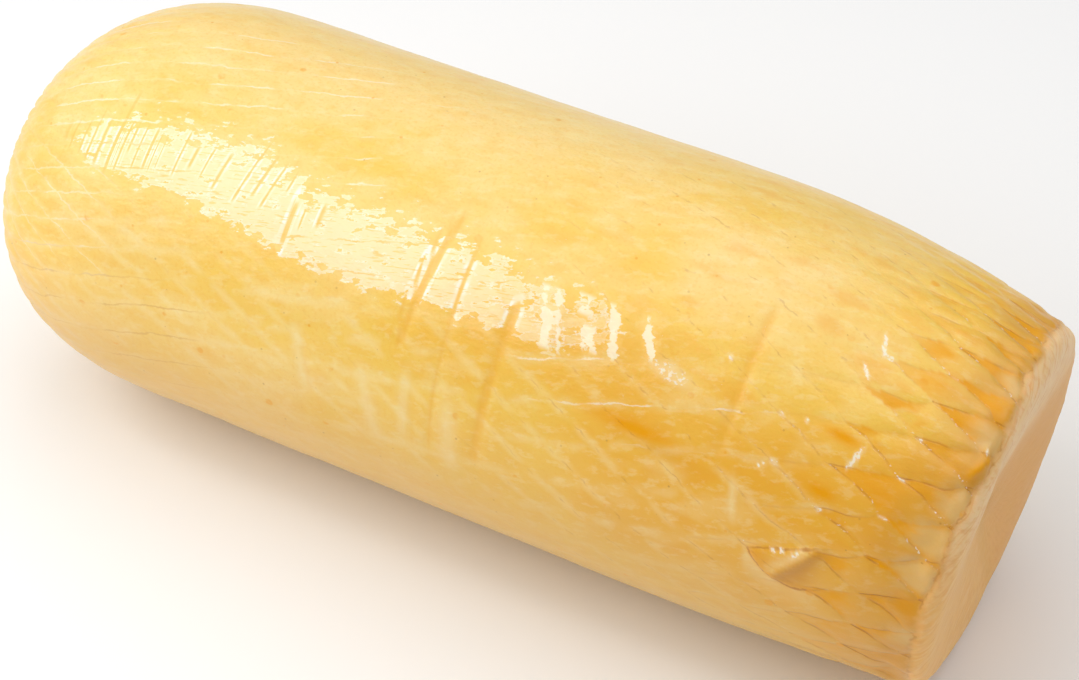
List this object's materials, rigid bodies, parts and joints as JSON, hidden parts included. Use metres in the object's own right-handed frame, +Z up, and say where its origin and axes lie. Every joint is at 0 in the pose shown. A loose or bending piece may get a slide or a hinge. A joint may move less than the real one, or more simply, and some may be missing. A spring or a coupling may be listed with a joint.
{
  "type": "smoked scamorza log",
  "caption": "Uncut log of smoked stretched-curd cheese, with a blunt dome at one end, a gathered and dished other end, and diamond marks from a string net.",
  "frame": {"origin": "on the surface the log lies on, under the middle of its bounding box", "axes": "+X along the log towards its gathered end, +Z up, -Y to the front"},
  "size_m": [0.3044, 0.1202, 0.118],
  "materials": {
    "smoked_cheese": null
  },
  "bodies": {
    "root": {"scamorza_log": "smoked_cheese"}
  },
  "joints": []
}
